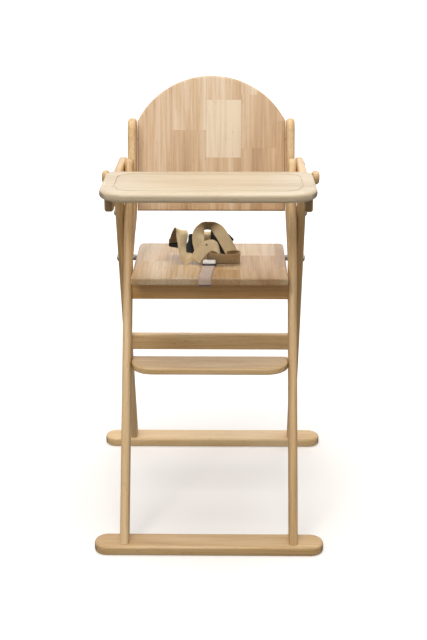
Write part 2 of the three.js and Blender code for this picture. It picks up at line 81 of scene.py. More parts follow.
class Value:
    """A shader value. Sums written on it become Math nodes."""

    def __init__(self, shader, socket):
        self.shader = shader
        self.socket = socket

    def math(self, operation, *inputs):
        return self.shader.node("ShaderNodeMath", {"operation": operation}, dict(enumerate(inputs)))

    def __add__(self, other):
        return self.math("ADD", self, other)

    def __sub__(self, other):
        return self.math("SUBTRACT", self, other)

    def __rsub__(self, other):
        return self.math("SUBTRACT", other, self)

    def __mul__(self, other):
        return self.math("MULTIPLY", self, other)

    def __truediv__(self, other):
        return self.math("DIVIDE", self, other)

    def __gt__(self, other):
        return self.math("GREATER_THAN", self, other)

    __radd__ = __add__
    __rmul__ = __mul__

    def sine(self):
        return self.math("SINE", self)

    def size(self):
        return self.math("ABSOLUTE", self)

    def step(self, low, high):
        """0 below low, 1 above high, smooth between."""
        return self.shader.node("ShaderNodeMapRange", {"interpolation_type": "SMOOTHSTEP"},
                                {"Value": self, "From Min": low, "From Max": high})


def socket_name(keyword):
    return keyword.replace("_", " ").title().replace("Ior", "IOR")


class Shader:
    """A material and its nodes."""

    def __init__(self, name, **uniform):
        self.material = bpy.data.materials.new(name)
        self.material.use_nodes = True
        self.tree = self.material.node_tree
        self.tree.nodes.clear()
        output = self.tree.nodes.new("ShaderNodeOutputMaterial")
        self.surface = self.tree.nodes.new("ShaderNodeBsdfPrincipled")
        self.tree.links.new(self.surface.outputs[0], output.inputs["Surface"])
        for socket, value in uniform.items():
            self.surface.inputs[socket_name(socket)].default_value = value

    def node(self, kind, settings=None, inputs=None, output=0):
        made = self.tree.nodes.new(kind)
        for key, value in (settings or {}).items():
            if key == "stops":
                self.fill_ramp(made.color_ramp, value)
            else:
                setattr(made, key, value)
        for key, value in (inputs or {}).items():
            if isinstance(value, Value):
                self.tree.links.new(value.socket, made.inputs[key])
            else:
                made.inputs[key].default_value = value
        return Value(self, made.outputs[output])

    @staticmethod
    def fill_ramp(ramp, stops):
        """Stops run upwards from 0. New ones go in place, because a ramp keeps its stops in order."""
        ramp.elements.remove(ramp.elements[1])
        ramp.elements[0].position = stops[0][0]
        ramp.elements[0].color = (*stops[0][1], 1)
        for position, colour in stops[1:]:
            ramp.elements.new(position).color = (*colour, 1)

    def feed(self, **links):
        for socket, value in links.items():
            self.tree.links.new(value.socket, self.surface.inputs[socket_name(socket)])

    def mix(self, factor, first, second):
        """Blends two colours."""
        colours = {0: factor, 6: first, 7: second}
        colours = {key: (*c, 1) if isinstance(c, tuple) else c for key, c in colours.items()}
        return self.node("ShaderNodeMix", {"data_type": "RGBA"}, colours, output=2)

    def position(self):
        return self.node("ShaderNodeTexCoord", output="Object")

    def dot(self, vector, direction):
        return self.node("ShaderNodeVectorMath", {"operation": "DOT_PRODUCT"},
                         {0: vector, 1: tuple(direction)}, output="Value")

    def vector(self, x, y, z):
        return self.node("ShaderNodeCombineXYZ", inputs={0: x, 1: y, 2: z})

    def parts(self, vector):
        outputs = self.node("ShaderNodeSeparateXYZ", inputs={0: vector}).socket.node.outputs
        return [Value(self, outputs[axis]) for axis in "XYZ"]

    def facing(self):
        """Which way the surface faces."""
        return self.node("ShaderNodeTexCoord", output="Normal")

    def noise(self, vector, scale, detail, roughness, distortion=0.0):
        return self.node("ShaderNodeTexNoise", inputs={
            "Vector": vector, "Scale": scale, "Detail": detail, "Roughness": roughness,
            "Distortion": distortion})

    def random(self, vector):
        return self.node("ShaderNodeTexWhiteNoise", inputs={"Vector": vector})

    def bump(self, height, distance, strength):
        return self.node("ShaderNodeBump", inputs={
            "Height": height, "Distance": distance, "Strength": strength})


# ---------------- wood

RUBBERWOOD = {"light": (0.76, 0.555, 0.315), "mid": (0.60, 0.39, 0.175), "dark": (0.42, 0.23, 0.085)}
# painted light: a brighter copy of rubberwood for the rear foot bar and the rear cross rail, so they look
# more strongly lit
PAINTED_LIGHT_RUBBERWOOD = {"light": (0.92, 0.70, 0.42), "mid": (0.80, 0.54, 0.26), "dark": (0.58, 0.34, 0.14)}
# painted shade: a darker, warmer copy of rubberwood for the seat rail, which stands in the seat's shadow
PAINTED_SHADE_RUBBERWOOD = {"light": (0.66, 0.42, 0.185), "mid": (0.52, 0.285, 0.095), "dark": (0.36, 0.17, 0.048)}
PANEL_RUBBERWOOD = {"light": (0.73, 0.59, 0.42), "mid": (0.575, 0.38, 0.21), "dark": (0.39, 0.22, 0.10)}
SEAT_RUBBERWOOD = {"light": (0.76, 0.60, 0.41), "mid": (0.60, 0.39, 0.195), "dark": (0.40, 0.22, 0.09)}
PALE_RUBBERWOOD = {"light": (0.64, 0.54, 0.39), "mid": (0.56, 0.45, 0.30), "dark": (0.42, 0.30, 0.175)}
PORE = (0.20, 0.10, 0.045)
END_GRAIN = (0.15, 0.075, 0.032)
POLISH = {"roughness": 0.4, "coat_roughness": 0.22, "coat_ior": 1.5, "specular_ior_level": 0.34}


def wood(name, along, across, tones=RUBBERWOOD, seed=0.0, staves=None, ends=0.72, sides=0.0):
    """Satin-varnished rubberwood whose grain runs along one direction. With staves, the board is glued up
    from strips side by side, each cut into blocks, and every block has its own tone and grain. ends and
    sides say how much darker its end grain and its long edges are."""
    shader = Shader(name, **POLISH)
    along, across = Vector(along).normalized(), Vector(across).normalized()
    place = shader.position()
    length = shader.dot(place, along)
    side = shader.dot(place, across)
    depth = shader.dot(place, along.cross(across))
    tone, joint = stave_tone(shader, length, side, staves) if staves else (0.5, None)
    shift = shader.random(shader.vector(tone, seed, 0.0)) * 3.7 if staves else seed
    band = shader.vector(length * 1.6 + shift, side * 17 + shift, depth * 17 + seed)
    figure = shader.noise(band, 1.0, 3, 0.55, 0.7)
    streaks = shader.noise(shader.vector(length * 7 + shift, side * 250 + shift, depth * 250), 1.0, 3, 0.6)
    fibre = shader.noise(shader.vector(length * 40, side * 1300 + shift, depth * 1300), 1.0, 2, 0.5)
    pores = shader.noise(shader.vector(length * 62 + shift, side * 1050, depth * 1050 + shift), 1.0, 1, 0.4)
    pore = pores.step(0.66, 0.74) * streaks.step(0.35, 0.6)
    end_grain = shader.dot(shader.facing(), along).size().step(0.7, 0.95)
    edge_grain = shader.dot(shader.facing(), across).size().step(0.6, 0.95)
    grain = figure.step(0.28, 0.72) * 0.54 + streaks.step(0.3, 0.7) * 0.28 + fibre * 0.14
    value = grain + (1.0 - tone) * 0.62 - 0.3
    colour = shader.node("ShaderNodeValToRGB", {"stops": [
        (0.0, tones["light"]), (0.5, tones["mid"]), (1.0, tones["dark"])]}, {"Fac": value})
    colour = shader.mix(pore * 0.55, colour, PORE)
    colour = shader.mix(end_grain * ends + edge_grain * sides, colour, END_GRAIN)
    if staves:
        colour = shader.mix(joint * 0.35, colour, PORE)
    shader.feed(base_color=colour, roughness=0.36 + streaks * 0.12 + pore * 0.1,
                coat_weight=0.24 - pore * 0.16,
                normal=shader.bump(fibre * 0.25 + streaks * 0.35 - pore * 0.9, 0.00012, 0.55))
    return shader.material


def stave_tone(shader, length, side, staves):
    """The tone of the block at a place, from 0 dark to 1 light, and a mask of the joints' fine lines.
    staves: the left edge of each strip across the board, with its blocks' ends and tones along it."""
    low, high = staves["span"]
    along = (length - low) / (high - low)
    tone, joint = None, None
    for edge, blocks in staves["strips"]:
        stops = [(place, (light, light, light)) for place, light in blocks]
        strip = shader.node("ShaderNodeValToRGB", {"stops": stops}, {"Fac": along})
        strip.socket.node.color_ramp.interpolation = "CONSTANT"
        if tone is None:
            tone = strip
            continue
        inside = side > edge
        tone = shader.node("ShaderNodeMix", {"data_type": "FLOAT"}, {0: inside, 2: tone, 3: strip})
        line = 1.0 - (side - edge).size().step(0.0002, 0.0006)
        joint = line if joint is None else joint + line
    return tone, joint


# ---------------- webbing, plastic, steel and nylon

def webbing(name, light, dark, rib=0.0011):
    """Flat woven strap: fine cross ribs, a denser edge, and fibres that catch the light. Its undersides are
    darkened with painted shade. Its map runs in metres, along the strap and across it from the middle."""
    shader = Shader(name, roughness=0.82, sheen_weight=0.35, sheen_roughness=0.5, specular_ior_level=0.25)
    along, across, _ = shader.parts(shader.node("ShaderNodeTexCoord", output="UV"))
    turns = 2 * math.pi / rib
    herring = ((along + across.size() * 0.7) * turns).sine()
    cords = (across * (turns * 0.8)).sine()
    weave = herring * 0.5 + cords * 0.35
    edge = across.size().step(0.0108, 0.0118)
    soil = shader.noise(shader.vector(along * 40, across * 60, 0.0), 1.0, 3, 0.6)
    fuzz = shader.noise(shader.position(), 2600.0, 1, 0.5)
    shade = weave * 0.16 + soil.step(0.3, 0.7) * 0.3 + edge * 0.22 + fuzz * 0.2
    # painted shade: faces that point down are darkened towards a near-black brown
    painted_underside_shade = shader.dot(shader.facing(), -Z).step(0.05, 0.6)
    colour = shader.mix(shade, light, dark)
    colour = shader.mix(painted_underside_shade * 0.86, colour, tuple(c * 0.16 for c in dark))
    shader.feed(base_color=colour, roughness=0.74 + fuzz * 0.16,
                normal=shader.bump(weave + edge * 0.8 + fuzz * 0.4, 0.00022, 0.8))
    return shader.material


def moulded_plastic(name, tone, scratch_tone):
    """Moulded plastic with a fine spark-eroded grain and a few rubbed places."""
    shader = Shader(name, roughness=0.42, specular_ior_level=0.36)
    grain = shader.noise(shader.position(), 1900.0, 2, 0.5)
    rub = shader.noise(shader.position(), 75.0, 4, 0.65).step(0.55, 0.7)
    shader.feed(base_color=shader.mix(rub * 0.5 + grain * 0.2, tone, scratch_tone),
                roughness=0.34 + grain * 0.16 + rub * 0.12,
                normal=shader.bump(grain, 0.00006, 0.5))
    return shader.material


def plated_steel(name, tone, rub_tone, roughness):
    """Zinc-plated steel: faint brushing and cloudy patches."""
    shader = Shader(name, metallic=1.0, roughness=roughness)
    place = shader.position()
    x, y, z = shader.parts(place)
    brushed = shader.noise(shader.vector(x * 160, y * 2600, z * 2600), 1.0, 2, 0.5)
    cloud = shader.noise(place, 260.0, 3, 0.6).step(0.35, 0.7)
    shader.feed(base_color=shader.mix(cloud * 0.7 + brushed * 0.2, tone, rub_tone),
                roughness=(brushed - 0.5) * 0.16 + cloud * 0.1 + roughness,
                normal=shader.bump(brushed, 0.00004, 0.4))
    return shader.material


# ---------------- outlines

def arc(centre, radius, start, end, steps):
    """Points on an arc, angles in degrees."""
    angles = [math.radians(start + (end - start) * i / steps) for i in range(steps + 1)]
    return [(centre[0] + radius * math.cos(a), centre[1] + radius * math.sin(a)) for a in angles]


def rounded_rectangle(low, high, corners, steps):
    """Corner radii at low-low, high-low, high-high and low-high."""
    (x0, y0), (x1, y1) = low, high
    a, b, c, d = corners
    return (arc((x0 + a, y0 + a), a, 180, 270, steps) + arc((x1 - b, y0 + b), b, 270, 360, steps)
            + arc((x1 - c, y1 - c), c, 0, 90, steps) + arc((x0 + d, y1 - d), d, 90, 180, steps))


def smooth_through(points, per):
    """A smooth line through the points, as a uniform Catmull-Rom spline."""
    points = [Vector(p) for p in points]
    ends = [points[0], *points, points[-1]]
    line = []
    for i in range(1, len(ends) - 2):
        p0, p1, p2, p3 = ends[i - 1:i + 3]
        for step in range(per):
            t = step / per
            line.append(0.5 * (2 * p1 + (p2 - p0) * t + (2 * p0 - 5 * p1 + 4 * p2 - p3) * t * t
                               + (3 * p1 - p0 - 3 * p2 + p3) * t ** 3))
    return line + [points[-1]]


def inset(outline, distance):
    """The outline moved inwards, for points that run anticlockwise."""
    count = len(outline)
    moved = []
    for i, point in enumerate(outline):
        before = Vector(point) - Vector(outline[i - 1])
        after = Vector(outline[(i + 1) % count]) - Vector(point)
        first = Vector((-before.y, before.x)).normalized()
        second = Vector((-after.y, after.x)).normalized()
        middle = (first + second).normalized()
        stretch = min(1.6, 1 / max(0.3, middle.dot(first)))
        moved.append(tuple(Vector(point) + middle * distance * stretch))
    return moved


def tidy(outline, least=0.00005):
    """Drops points that repeat."""
    kept = []
    for point in outline:
        if not kept or (Vector(point) - Vector(kept[-1])).length > least:
            kept.append(tuple(point))
    if (Vector(kept[0]) - Vector(kept[-1])).length <= least:
        kept.pop()
    return kept


# ---------------- pieces

def new_object(name, shape):
    """An object from vertices and faces."""
    vertices, faces = shape
    mesh = bpy.data.meshes.new(name)
    mesh.from_pydata([tuple(v) for v in vertices], [], faces)
    made = bpy.data.objects.new(name, mesh)
    bpy.context.scene.collection.objects.link(made)
    return made


def solid(name, shape):
    """An object from a closed shape, with its faces turned outwards."""
    made = new_object(name, shape)
    shaped = bmesh.new()
    shaped.from_mesh(made.data)
    bmesh.ops.recalc_face_normals(shaped, faces=shaped.faces)
    shaped.to_mesh(made.data)
    shaped.free()
    return made


def add_piece(name, shape, material, body, replaces=(), crease=32):
    piece = solid(name, shape)
    finish_piece(piece, material, crease)
    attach(piece, body)
    if replaces:
        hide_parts(*replaces)
    return piece


def finish_piece(piece, material, crease):
    piece.data.materials.clear()
    piece.data.materials.append(material)
    piece.data.polygons.foreach_set("use_smooth", [True] * len(piece.data.polygons))
    piece.data.set_sharp_from_angle(angle=math.radians(crease))


def loft(rings):
    """Skins rings of equally many points, with a flat face over each end."""
    count = len(rings[0])
    vertices = [point for ring in rings for point in ring]
    faces = []
    for r in range(len(rings) - 1):
        for i in range(count):
            j = (i + 1) % count
            faces.append((r * count + i, r * count + j, (r + 1) * count + j, (r + 1) * count + i))
    faces.append(tuple(range(count)))
    faces.append(tuple(range((len(rings) - 1) * count, len(rings) * count)))
    return vertices, faces


def edge_profile(thickness, roundover, steps=6):
    """How a rounded-over edge steps in and up: pairs of inset and depth, from one face to the other."""
    quarter = [i / steps * math.pi / 2 for i in range(steps + 1)]
    lower = [(roundover * (1 - math.sin(a)), roundover * (1 - math.cos(a))) for a in quarter]
    flat = roundover + 0.0006
    lower.insert(0, (flat, 0.0))
    upper = [(back, thickness - up) for back, up in reversed(lower)]
    return lower + upper


def board(outline, thickness, roundover, place):
    """A board with rounded-over edges. place takes the two coordinates of the outline and the depth."""
    outline = tidy(outline)
    rings = [[place(*point, depth) for point in inset(outline, back)]
             for back, depth in edge_profile(thickness, roundover)]
    return loft(rings)


def in_side_plane(x_low):
    return lambda y, z, depth: Vector((x_low + depth, y, z))


def in_plan(z_low):
    return lambda x, y, depth: Vector((x, y, z_low + depth))


def cut_and_finish(piece, cutters, material, crease=32):
    """Takes the cutters' solids out of a piece, drops the cutters, and finishes what is left."""
    for cutter in cutters:
        modifier = piece.modifiers.new("cut", "BOOLEAN")
        modifier.operation = "DIFFERENCE"
        modifier.solver = "EXACT"
        modifier.object = cutter
    graph = bpy.context.evaluated_depsgraph_get()
    made = bpy.data.meshes.new_from_object(piece.evaluated_get(graph))
    old = piece.data
    piece.modifiers.clear()
    piece.data = made
    bpy.data.meshes.remove(old)
    for cutter in cutters:
        bpy.data.objects.remove(cutter)
    finish_piece(piece, material, crease)


def trim(piece, point, ahead):
    """Saws a piece off along a plane: what lies ahead of it goes, and the sawn end is closed."""
    shaped = bmesh.new()
    shaped.from_mesh(piece.data)
    everything = [*shaped.verts, *shaped.edges, *shaped.faces]
    sawn = bmesh.ops.bisect_plane(shaped, geom=everything, plane_co=point, plane_no=ahead, clear_outer=True)
    edges = [item for item in sawn["geom_cut"] if isinstance(item, bmesh.types.BMEdge)]
    bmesh.ops.edgeloop_fill(shaped, edges=edges)
    bmesh.ops.recalc_face_normals(shaped, faces=shaped.faces)
    shaped.to_mesh(piece.data)
    shaped.free()


def turned(profile, start, direction, segments):
    """A turned solid: pairs of distance along the axis and radius, from end to end."""
    axis = Vector(direction).normalized()
    side = axis.orthogonal().normalized()
    other = axis.cross(side)
    rings = []
    for along, radius in profile:
        centre = Vector(start) + axis * along
        angles = [2 * math.pi * i / segments for i in range(segments)]
        spokes = [side * math.cos(a) + other * math.sin(a) for a in angles]
        rings.append([centre + spoke * max(radius, 1e-5) for spoke in spokes])
    return loft(rings)


def turned_ring(profile, start, direction, segments):
    """A turned solid with a hole through it: the profile closes on itself."""
    vertices, faces = turned([*profile, profile[0]], start, direction, segments)
    count = len(profile) * segments
    return vertices[:count], [tuple(v % count for v in face) for face in faces[:-2]]


def bore(start, direction, radius, depth):
    """The cutter for a round hole. It starts a little outside."""
    return solid("cutter", turned([(-4 * MM, radius), (depth, radius)], start, direction, 24))


# ---------------- places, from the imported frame

def low(node):
    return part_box(node)[0]


def high(node):
    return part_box(node)[1]


def middle(node):
    return (low(node) + high(node)) / 2


def pivot_of(joint):
    found = next(j for j in frame["joints"] if j["name"] == joint)
    return Vector(found["pos_m"])


LEG_WIDTH = 38 * MM
LEG_ROUNDOVER = 7 * MM
BAR_ROUNDOVER = 6 * MM
POST_ROUNDOVER = 6 * MM
ARM_ROUNDOVER = 5 * MM
ARM_CORNER = 6 * MM
TRAY_ROUNDOVER = 7 * MM
BOARD_ROUNDOVER = 4 * MM
GAP = 0.3 * MM

LEG_CROSSING = pivot_of("rear_frame_fold")
FRONT_FOOT = Vector((0, middle("front_foot_bar").y - 1 * MM, high("front_foot_bar").z))
REAR_FOOT = Vector((0, middle("rear_foot_bar").y - 3 * MM, high("rear_foot_bar").z))

BACK_FOOT = Vector((0, 146, 612)) * MM
BACK_RISE = Vector((0, 82, 284)) * MM
BACK_UP = BACK_RISE.normalized()
BACK_BEHIND = BACK_UP.cross(X)
BACK_THICKNESS = 15 * MM
POST_GRAIN = Vector((0, 0.75, 0.66))
SEAT_TOP = high("seat_panel").z


def on_line(foot, top, z):
    """The point at height z on the line through foot and top."""
    return foot + (top - foot) * ((z - foot.z) / (top.z - foot.z))


def back_face(z):
    """Y of the face that the child leans on, at height z."""
    return BACK_FOOT.y + (z - BACK_FOOT.z) * (BACK_UP.y / BACK_UP.z)


# ---------------- screws, bolts, washers and pegs

def axis_of(node):
    """Where a fastener starts, which way it runs, and how long it is. Those across the chair start at
    their outer end."""
    lowest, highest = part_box(node)
    size = highest - lowest
    centre = (lowest + highest) / 2
    if size.x > max(size.y, size.z):
        outside = highest.x if centre.x > 0 else lowest.x
        return Vector((outside, centre.y, centre.z)), X * -math.copysign(1, centre.x), size.x
    return Vector((centre.x, centre.y, lowest.z)), Z.copy(), size.z


def screw(node, material, body):
    """A countersunk screw with a cross recess in its head."""
    start, along, length = axis_of(node)
    radius = 4.0 * MM
    profile = [(0.0, radius - 0.25 * MM), (0.2 * MM, radius), (0.5 * MM, radius), (2.4 * MM, 2.2 * MM),
               (length - 3 * MM, 2.2 * MM), (length, 0.4 * MM)]
    piece = add_piece(node + "_cross_head", turned(profile, start, along, 28), material, body,
                      [node])
    side = along.orthogonal().normalized()
    other = along.cross(side)
    blades = []
    for wide, thin in ((side, other), (other, side)):
        rings = []
        for depth, reach in ((-1 * MM, 2.1 * MM), (0.0, 2.1 * MM), (1.7 * MM, 0.8 * MM)):
            centre = start + along * depth
            rings.append([centre + wide * (reach * a) + thin * (0.45 * MM * b)
                          for a, b in ((-1, -1), (1, -1), (1, 1), (-1, 1))])
        blades.append(solid("cutter", loft(rings)))
    cut_and_finish(piece, blades, material, 30)


def domed_bolt(node, material, body):
    """A domed bolt with a six-sided recess for its key."""
    start, along, length = axis_of(node)
    dome = [(0.0, 2.0 * MM)]
    for step in range(1, 10):
        angle = math.radians(90 - 8 * step)
        dome.append((3.4 * MM * (1 - math.sin(angle)), 8 * MM * math.cos(angle) + 0.3 * MM))
    shank = [(3.7 * MM, 8 * MM), (4 * MM, 7.9 * MM), (4 * MM, 4 * MM), (length - 1 * MM, 4 * MM),
             (length, 3.2 * MM)]
    profile = sorted(dome + shank, key=lambda point: point[0])
    piece = add_piece(node + "_domed", turned(profile, start, along, 48), material, body,
                      [node])
    recess = turned([(-1 * MM, 2.9 * MM), (2.6 * MM, 2.9 * MM)], start, along, 6)
    cut_and_finish(piece, [solid("cutter", recess)], material, 26)


def collar(node, outer, material, body, chamfer):
    """A washer or a sleeve: a ring with eased edges."""
    start, along, length = axis_of(node)
    inner = 4.3 * MM
    profile = [(0, inner), (0, outer - chamfer), (chamfer, outer), (length - chamfer, outer),
               (length, outer - chamfer), (length, inner)]
    add_piece(node + "_turned", turned_ring(profile, start, along, 48), material, body, [node], 40)


def peg(node, material, body):
    """The turned wooden peg that the arm's notch drops over: a shank, a flare and a mushroom head."""
    start, along, length = axis_of(node)
    head = smooth_through([(0, 8.2), (0.6, 10.5), (2.0, 12.6), (5, 14.4), (8.5, 15), (11, 14.6), (13.4, 13.2),
                           (15.2, 10.8), (17, 8.6), (19.5, 7.4), (23, 7)], 4)
    profile = [(0, 0.2 * MM), (0, 4.5 * MM), *scaled(head), (length, 7 * MM)]
    add_piece(node + "_turned", turned(profile, start, along, 56), material, body, [node], 50)


# ---------------- front frame

def flat_board(node, corners, steps, roundover, material, body):
    """A level board the size of its node. Its corner radii start at the front left and go round."""
    lowest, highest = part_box(node)
    outline = rounded_rectangle((lowest.x, lowest.y), (highest.x, highest.y), corners, steps)
    shape = board(outline, highest.z - lowest.z, roundover, in_plan(lowest.z))
    return add_piece(node + "_shaped", shape, material, body, [node])


def foot_bar(node, material, body):
    corner = (high(node).y - low(node).y) / 2 - 2 * MM
    piece = flat_board(node, [corner] * 4, 16, BAR_ROUNDOVER, material, body)
    kind = node.replace("_bar", "_screw")
    cut_and_finish(piece, recesses([f"{kind}_left", f"{kind}_right"], 4.4 * MM, 4 * MM), material)


def leg_outline(top, foot, reach):
    """A straight leg with a round top, in the side plane, run past the floor bar to be cut off."""
    along = (foot - top).normalized()
    across = Vector((0, -along.z, along.y)) * LEG_WIDTH / 2
    end = foot + along * reach
    angle = math.degrees(math.atan2(across.z, across.y))
    round_top = arc(top.yz, LEG_WIDTH / 2, angle, angle + 180, 28)
    return [tuple((end - across).yz), tuple((end + across).yz), *round_top]


def leg(node, foot, screws, material, body):
    lowest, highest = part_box(node)
    top = on_line(foot, LEG_CROSSING, highest.z - LEG_WIDTH / 2)
    outline = leg_outline(top, foot, 3 * LEG_ROUNDOVER)
    shape = board(outline, highest.x - lowest.x, LEG_ROUNDOVER, in_side_plane(lowest.x))
    piece = add_piece(node + "_shaped", shape, material, body, [node])
    trim(piece, lowest, -Z)
    cut_and_finish(piece, recesses(screws), material)


def recesses(nodes, radius=4.3 * MM, depth=3 * MM):
    """Round holes where screws' heads are sunk."""
    holes = []
    for node in nodes:
        start, along, _ = axis_of(node)
        holes.append(bore(start, along, radius, depth))
    return holes


def rail(node, material, body, corner):
    """A straight rail across the chair with eased edges."""
    lowest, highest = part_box(node)
    outline = rounded_rectangle((lowest.y, lowest.z), (highest.y, highest.z), [corner] * 4, 8)
    shape = board(outline, highest.x - lowest.x, 0.5 * MM, in_side_plane(lowest.x))
    add_piece(node + "_shaped", shape, material, body, [node])


# ---------------- back posts and backrest

def post_outline():
    """A swan neck: it springs from the front leg's rear edge and turns up beside the backrest."""
    ahead, behind, top = 47 * MM, 10 * MM, 783 * MM
    lean = math.degrees(math.atan2(BACK_UP.y, BACK_UP.z))
    radius = (ahead + behind) / 2 * BACK_UP.z
    centre = (back_face(top) + (behind - ahead) / 2, top)
    rear = [(back_face(z * MM) + behind, z * MM) for z in (652, 664)]
    front = [(back_face(z * MM) - ahead, z * MM) for z in (700, 676)]
    lower = [(-20, 530), (12, 541), (39, 552), (70, 570), (104, 583), (136, 599), (155, 622)]
    upper = [(109, 654), (96, 634), (74, 619), (46, 608), (12, 592)]
    up_the_rear = map(tuple, smooth_through([*scaled(lower), *rear], 6))
    down_the_front = map(tuple, smooth_through([*front, *scaled(upper)], 6))
    return [*up_the_rear, *arc(centre, radius, -lean, 180 - lean, 24), *down_the_front]


def scaled(points):
    return [(a * MM, b * MM) for a, b in points]


def back_post(side, material):
    node = f"back_post_{side}"
    lowest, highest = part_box(node)
    shape = board(post_outline(), highest.x - lowest.x, POST_ROUNDOVER, in_side_plane(lowest.x))
    piece = add_piece(f"{node}_shaped", shape, material, "front_frame", [node])
    slope = (LEG_CROSSING - FRONT_FOOT).normalized()
    ahead = Vector((0, -slope.z, slope.y))
    trim(piece, LEG_CROSSING - ahead * (LEG_WIDTH / 2 + GAP), ahead)
    cut_and_finish(piece, recesses([f"back_screw_lower_{side}", f"back_screw_upper_{side}"]), material)


def back_outline():
    """Straight sides and an arc over the top, drawn flat: X, and distance up the panel."""
    half, radius = 162.7 * MM, 183.5 * MM
    spread = math.degrees(math.asin(half / radius))
    over = arc((0, BACK_RISE.length - radius), radius, 90 - spread, 90 + spread, 48)
    return [(-half, 0), (half, 0), *over]


def backrest(material):
    def place(x, up, depth):
        return BACK_FOOT + X * x + BACK_UP * up + BACK_BEHIND * depth

    shape = board(back_outline(), BACK_THICKNESS, BOARD_ROUNDOVER, place)
    add_piece("backrest_panel_shaped", shape, material, "front_frame", ["backrest_panel"])


# ---------------- tray and arms

def tray(material):
    """A board with big front corners, rounded-over edges, and a round-bottomed groove routed in its top.
    Corner radii are given as they would be at its outermost edge, and shrink by how far back a ring lies."""
    lowest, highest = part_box("tray_top")
    thickness = highest.z - lowest.z

    def ring(back, depth, corners):
        front, rear = (corner * MM - back for corner in corners)
        outline = rounded_rectangle((lowest.x + back, lowest.y + back), (highest.x - back, highest.y - back),
                                    [front, front, rear, rear], 16)
        return [Vector((x, y, lowest.z + depth)) for x, y in outline]

    edge_corners, groove_corners = (55, 20), (64, 54)
    from_edge, half, deep, beside = 28 * MM, 2.3 * MM, 1.6 * MM, 0.7 * MM
    rings = [ring(back, depth, edge_corners) for back, depth in edge_profile(thickness, TRAY_ROUNDOVER, 8)]
    rings.append(ring(from_edge - half - beside, thickness, groove_corners))
    for step in range(-6, 7):
        angle = math.radians(15 * step)
        depth = thickness - deep * math.cos(angle)
        rings.append(ring(from_edge + half * math.sin(angle), depth, groove_corners))
    rings.append(ring(from_edge + half + beside, thickness, groove_corners))
    add_piece("tray_top_shaped", loft(rings), material, "tray", ["tray_top"])


def tray_arm(side, material):
    """A level arm with a round rear end and a slot that drops over the peg."""
    node = f"tray_arm_{side}"
    lowest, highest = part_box(node)
    half = (highest.z - lowest.z) / 2
    outline = [*arc((lowest.y + ARM_CORNER, lowest.z + ARM_CORNER), ARM_CORNER, 180, 270, 8),
               *arc((highest.y - half, lowest.z + half), half, -90, 90, 28),
               *arc((lowest.y + ARM_CORNER, highest.z - ARM_CORNER), ARM_CORNER, 90, 180, 8)]
    shape = board(outline, highest.x - lowest.x, ARM_ROUNDOVER, in_side_plane(lowest.x))
    piece = add_piece(f"{node}_shaped", shape, material, "tray", [node])
    peg_place = middle(f"arm_peg_{side}")
    notch_half = 9 * MM
    top = peg_place.z + 7 * MM + GAP - notch_half
    slot = [(peg_place.y - notch_half, lowest.z - 0.01), (peg_place.y + notch_half, lowest.z - 0.01),
            *arc((peg_place.y, top), notch_half, 0, 180, 20)]
    rings = [[Vector((x, y, z)) for y, z in slot] for x in (lowest.x - 0.02, highest.x + 0.02)]
    screws = recesses([f"tray_screw_front_{side}", f"tray_screw_back_{side}"])
    cut_and_finish(piece, [solid("cutter", loft(rings)), *screws], material)


# ---------------- harness

CROTCH_SHIFT = 5    # millimetres the loose crotch strap and its slide have slipped right


def on_seat(x, y, z):
    """A place in millimetres, with its height over the seat."""
    return Vector((x, y, 0)) * MM + Z * (SEAT_TOP + z * MM)


def ribbon_frames(points, widths, per):
    """Places, width directions and face directions along a strap, and the distance run at each."""
    centres = smooth_through(points, per)
    wide = smooth_through(widths, per)
    frames, run = [], 0.0
    for i, centre in enumerate(centres):
        ahead = centres[min(i + 1, len(centres) - 1)] - centres[max(i - 1, 0)]
        along = ahead.normalized()
        across = (wide[i] - along * wide[i].dot(along)).normalized()
        if i:
            run += (centre - centres[i - 1]).length
        frames.append((centre, across, along.cross(across), run))
    return frames


def ribbon(name, points, widths, material, replaces=(), width=25, thickness=1.5, cup=0.6, per=9):
    """A length of flat webbing along a smooth line. Its map runs in metres, along it and across it."""
    half, thick = width / 2 * MM, thickness / 2 * MM
    steps = 10
    section = [(half * (-1 + 2 * i / steps), thick) for i in range(steps + 1)]
    section = [(-half - thick * 0.6, 0), *section, (half + thick * 0.6, 0)]
    section += [(half * (1 - 2 * i / steps), -thick) for i in range(steps + 1)]
    frames = ribbon_frames([on_seat(*point) for point in points], widths, per)
    rings, places = [], []
    for centre, across, face, run in frames:
        ring = []
        for side, up in section:
            bow = cup * MM * (1 - (side / half) ** 2)
            ring.append(centre + across * side + face * (up + bow))
            places.append((run, side))
        rings.append(ring)
    piece = add_piece(name, loft(rings), material, "seat", replaces, 60)
    mapping = piece.data.uv_layers.new(name="weave")
    for loop in piece.data.loops:
        mapping.data[loop.index].uv = places[loop.vertex_index]
    return frames


def stitches(name, frames, first, last, rows, material, proud=0.85):
    """Rows of thread along a strap: each stitch is a small capsule that lies on the face."""
    pitch, length, radius = 3.2 * MM, 2.2 * MM, 0.32 * MM
    vertices, faces = [], []
    for row in rows:
        wanted = first * MM
        for (place, across, face, run), (next_place, _, _, next_run) in zip(frames, frames[1:]):
            while run <= wanted < next_run and wanted < last * MM:
                centre = place.lerp(next_place, (wanted - run) / (next_run - run))
                centre += across * (row * MM) + face * (proud * MM)
                stitch, stitch_faces = capsule(centre, (next_place - place).normalized(), length, radius)
                faces += [tuple(v + len(vertices) for v in corners) for corners in stitch_faces]
                vertices += stitch
                wanted += pitch
    add_piece(name, (vertices, faces), material, "seat", (), 60)


def capsule(centre, along, length, radius):
    shape = [(0, 0.25), (0.12, 0.85), (0.3, 1), (0.7, 1), (0.88, 0.85), (1, 0.25)]
    profile = [(share * length, wide * radius) for share, wide in shape]
    return turned(profile, centre - along * (length / 2), along, 8)


